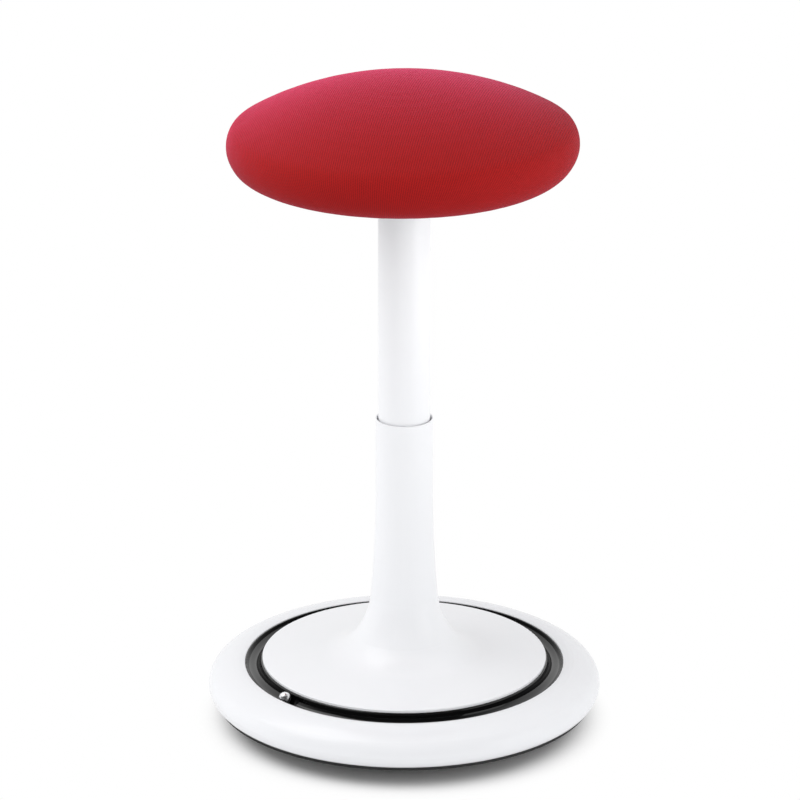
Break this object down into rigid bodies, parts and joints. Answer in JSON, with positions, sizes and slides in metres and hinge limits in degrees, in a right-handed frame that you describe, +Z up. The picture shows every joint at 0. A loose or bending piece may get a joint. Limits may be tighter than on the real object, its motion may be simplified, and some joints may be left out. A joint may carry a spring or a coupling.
{
  "type": "wobble stool",
  "caption": "Wobble stool: round domed fabric seat on a gas-lift column, flared into a heavy round rocking base with a loose steel ball in a groove.",
  "frame": {"origin": "centre of the flat middle of the sole, on the floor, under the column's axis", "axes": "+Z up along the column; +Y to the rear, where the height lever comes out under the seat; +X to the sitter's right seen from the front camera"},
  "size_m": [0.3822, 0.3822, 0.6409],
  "materials": {
    "sole_rubber": "matte",
    "black_plastic": "matte",
    "plain_steel": "satin",
    "ballast_iron": "matte",
    "zinc_steel": "satin",
    "white_column": "gloss powder coat",
    "white_ring": "gloss",
    "white_tube": "gloss powder coat",
    "bush_plastic": "satin",
    "track_black": "gloss",
    "ball_steel": "polished",
    "rod_chrome": "polished",
    "bump_rubber": "matte",
    "cylinder_black": "satin",
    "seat_plate_black": "satin",
    "plywood": "sanded, unfinished",
    "foam": "open-cell foam",
    "red_fabric": "woven twill",
    "cord_fabric": "braided cord",
    "lever_steel": "satin",
    "grip_plastic": "satin"
  },
  "bodies": {
    "base": {"rocker_sole": "sole_rubber", "base_pan": "black_plastic", "base_plate": "plain_steel", "ballast_ring": "ballast_iron", "ballast_screws": "zinc_steel", "pan_screws": "zinc_steel", "base_column": "white_column", "column_screws": "zinc_steel", "guide_bush": "bush_plastic", "ball_track": "track_black", "track_screws": "zinc_steel", "outer_ring": "white_ring", "ring_screws": "zinc_steel", "lower_bearing_washer": "plain_steel"},
    "bearing_cage": {"thrust_cage": "bush_plastic", "thrust_balls": "ball_steel"},
    "rod": {"upper_bearing_washer": "plain_steel", "piston_rod": "rod_chrome", "rod_clip": "plain_steel", "bump_stop": "bump_rubber", "piston": "bush_plastic"},
    "seat": {"gas_cylinder": "cylinder_black", "cylinder_gland": "bush_plastic", "cylinder_spacer": "bush_plastic", "upper_tube": "white_tube", "glide_ring": "bush_plastic", "taper_socket": "plain_steel", "seat_plate": "seat_plate_black", "seat_bolts": "zinc_steel", "tee_nuts": "zinc_steel", "seat_pan": "plywood", "seat_foam": "foam", "seat_cover": "red_fabric", "hem_cord": "cord_fabric", "underside_cover": "black_plastic", "cover_screws": "zinc_steel", "lever_pin": "zinc_steel"},
    "height_lever": {"release_lever": "lever_steel", "lever_grip": "grip_plastic"},
    "valve": {"valve_pin": "rod_chrome"},
    "ball": {"track_ball": "ball_steel"}
  },
  "joints": [
    {"name": "seat_swivel", "type": "hinge", "parent": "base", "child": "rod", "pos_m": [0, 0, 0.022], "axis": [0, 0, 1], "continuous": true},
    {"name": "cage_turn", "type": "hinge", "parent": "base", "child": "bearing_cage", "pos_m": [0, 0, 0.019], "axis": [0, 0, 1], "continuous": true},
    {"name": "seat_lift", "type": "slide", "parent": "rod", "child": "seat", "axis": [0, 0, 1], "range_m": [-0.2, 0]},
    {"name": "lever_pull", "type": "hinge", "parent": "seat", "child": "height_lever", "pos_m": [0, 0.042, 0.5611], "axis": [1, 0, 0], "range_deg": [0, 5], "stiffness_Nm_per_rad": 5},
    {"name": "valve_press", "type": "slide", "parent": "seat", "child": "valve", "axis": [0, 0, -1], "range_m": [0, 0.0038]},
    {"name": "ball_roll", "type": "hinge", "parent": "base", "child": "ball", "pos_m": [0, 0, 0.053], "axis": [0, 0, 1], "continuous": true}
  ],
  "couplings": [
    {"joint": "cage_turn", "follows": "seat_swivel", "ratio": 0.5},
    {"joint": "valve_press", "follows": "lever_pull", "m_per_rad": 0.042}
  ]
}
